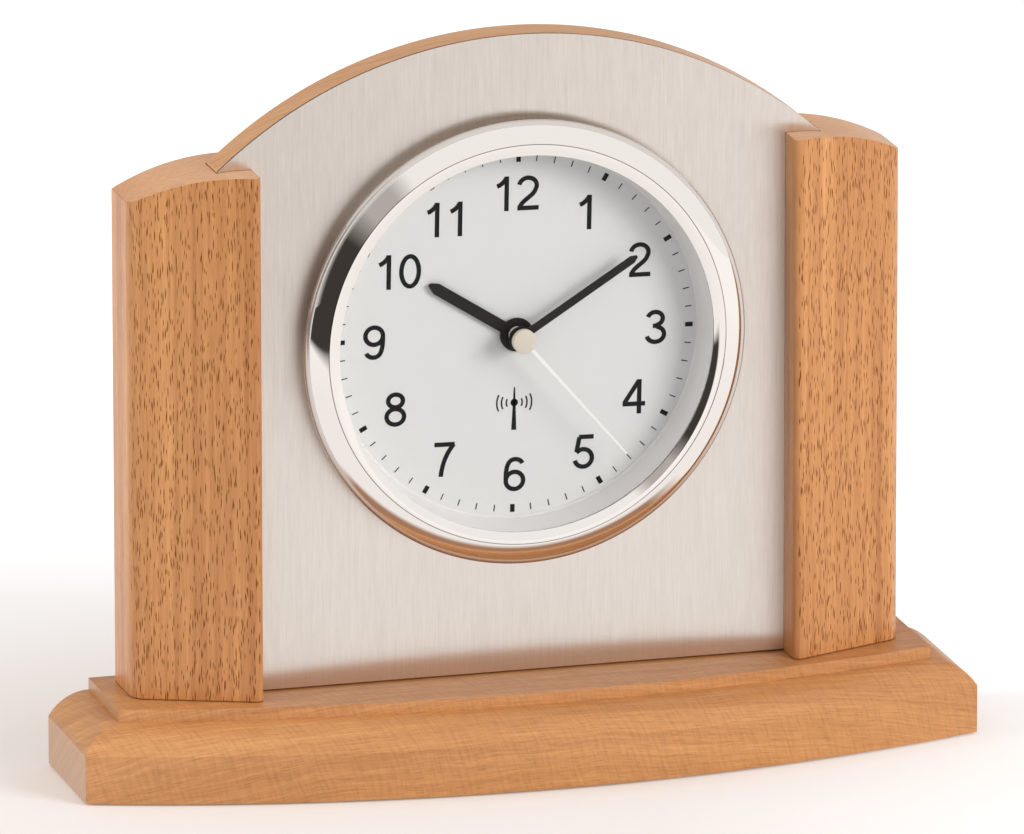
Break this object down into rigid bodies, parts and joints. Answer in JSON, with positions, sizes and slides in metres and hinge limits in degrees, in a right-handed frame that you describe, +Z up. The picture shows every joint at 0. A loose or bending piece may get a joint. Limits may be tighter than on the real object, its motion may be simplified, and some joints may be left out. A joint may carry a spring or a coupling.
{
  "type": "table clock",
  "caption": "Arched table clock: metal-faced board between two wooden pillars on a moulded, bow-fronted base, with a round glazed quartz insert.",
  "frame": {"origin": "on the table, under the middle of the whole clock's box", "axes": "+X to the right as one looks at the dial, +Y to the back, +Z up"},
  "size_m": [0.22, 0.054, 0.1767],
  "materials": {
    "beech": "satin lacquer, straight grain with short dark flecks",
    "pale_beech": "satin lacquer, edge grain",
    "brushed_sheet": "brushed up and down",
    "chrome": "polished",
    "clear_glass": "clear mineral glass",
    "dial_white": "matt, printed in black",
    "light_plastic": "matt",
    "black_lacquer": "satin",
    "silver_lacquer": "satin",
    "dark_plastic": "fine moulded texture",
    "nylon": "smooth",
    "steel": "bright",
    "magnet": "ground",
    "copper_wire": "enamelled copper",
    "green_board": "solder mask",
    "black_plastic": "matt",
    "ferrite": "matt sintered",
    "brass": "plated",
    "battery_jacket": "printed jacket, no lettering",
    "felt": "felt"
  },
  "bodies": {
    "clock": {"base": "beech", "left_pillar": "beech", "right_pillar": "beech", "arch_board": "pale_beech", "front_sheet": "brushed_sheet", "foot_pads": "felt", "pillar_screws": "steel", "board_dowels": "beech", "bezel": "chrome", "glass": "clear_glass", "dial_ring": "light_plastic", "dial": "dial_white", "insert_sleeve": "light_plastic", "holding_claws": "steel", "claw_screws": "steel", "movement_case": "dark_plastic", "back_cover": "dark_plastic", "cover_screws": "steel", "movement_screws": "steel", "minute_stator": "steel", "minute_coil": "copper_wire", "second_stator": "steel", "second_coil": "copper_wire", "circuit_board": "green_board", "control_chip": "black_plastic", "crystal": "steel", "antenna_rod": "ferrite", "antenna_coil": "copper_wire", "contact_plate": "brass", "contact_spring": "steel"},
    "minute_works": {"minute_hand": "black_lacquer", "minute_wheel": "nylon"},
    "hour_works": {"hour_hand": "black_lacquer", "hour_wheel": "nylon"},
    "motion_wheel": {"motion_wheel": "nylon"},
    "minute_transfer_wheel": {"minute_transfer_wheel": "nylon"},
    "minute_rotor": {"minute_rotor": "magnet"},
    "second_works": {"second_hand": "silver_lacquer", "second_wheel": "nylon"},
    "second_transfer_wheel": {"second_transfer_wheel": "nylon"},
    "second_rotor": {"second_rotor": "magnet"},
    "wave_button": {"wave_button": "nylon"},
    "set_button": {"set_button": "nylon"},
    "reset_button": {"reset_button": "nylon"},
    "battery": {"battery": "battery_jacket"}
  },
  "joints": [
    {"name": "minute_spin", "type": "hinge", "parent": "clock", "child": "minute_works", "pos_m": [0, 0.0182, 0.1029], "axis": [0, 1, 0], "continuous": true},
    {"name": "minute_transfer_spin", "type": "hinge", "parent": "clock", "child": "minute_transfer_wheel", "pos_m": [-0.00918, 0.0182, 0.10932], "axis": [0, 1, 0], "continuous": true},
    {"name": "minute_rotor_spin", "type": "hinge", "parent": "clock", "child": "minute_rotor", "pos_m": [-0.0182, 0.0182, 0.11261], "axis": [0, 1, 0], "continuous": true},
    {"name": "motion_wheel_spin", "type": "hinge", "parent": "clock", "child": "motion_wheel", "pos_m": [0, 0.0182, 0.1149], "axis": [0, 1, 0], "continuous": true},
    {"name": "hour_spin", "type": "hinge", "parent": "clock", "child": "hour_works", "pos_m": [0, 0.0182, 0.1029], "axis": [0, 1, 0], "continuous": true},
    {"name": "second_spin", "type": "hinge", "parent": "clock", "child": "second_works", "pos_m": [0, 0.0182, 0.1029], "axis": [0, 1, 0], "continuous": true},
    {"name": "second_transfer_spin", "type": "hinge", "parent": "clock", "child": "second_transfer_wheel", "pos_m": [0.00918, 0.0182, 0.10932], "axis": [0, 1, 0], "continuous": true},
    {"name": "second_rotor_spin", "type": "hinge", "parent": "clock", "child": "second_rotor", "pos_m": [0.0182, 0.0182, 0.11261], "axis": [0, 1, 0], "continuous": true},
    {"name": "wave_button_press", "type": "slide", "parent": "clock", "child": "wave_button", "axis": [0, -1, 0], "range_m": [0, 0.0004], "stiffness_N_per_m": 400, "springref_m": -0.001},
    {"name": "set_button_press", "type": "slide", "parent": "clock", "child": "set_button", "axis": [0, -1, 0], "range_m": [0, 0.0004], "stiffness_N_per_m": 400, "springref_m": -0.001},
    {"name": "reset_button_press", "type": "slide", "parent": "clock", "child": "reset_button", "axis": [0, -1, 0], "range_m": [0, 0.0004], "stiffness_N_per_m": 400, "springref_m": -0.001},
    {"name": "battery_slide", "type": "slide", "parent": "clock", "child": "battery", "axis": [0, 1, 0], "range_m": [0, 0.03]}
  ],
  "couplings": [
    {"joint": "minute_transfer_spin", "follows": "minute_spin", "ratio": -6},
    {"joint": "minute_rotor_spin", "follows": "minute_spin", "ratio": 30},
    {"joint": "motion_wheel_spin", "follows": "minute_spin", "ratio": -0.33333},
    {"joint": "hour_spin", "follows": "minute_spin", "ratio": 0.083333},
    {"joint": "second_transfer_spin", "follows": "second_spin", "ratio": -6},
    {"joint": "second_rotor_spin", "follows": "second_spin", "ratio": 30}
  ]
}
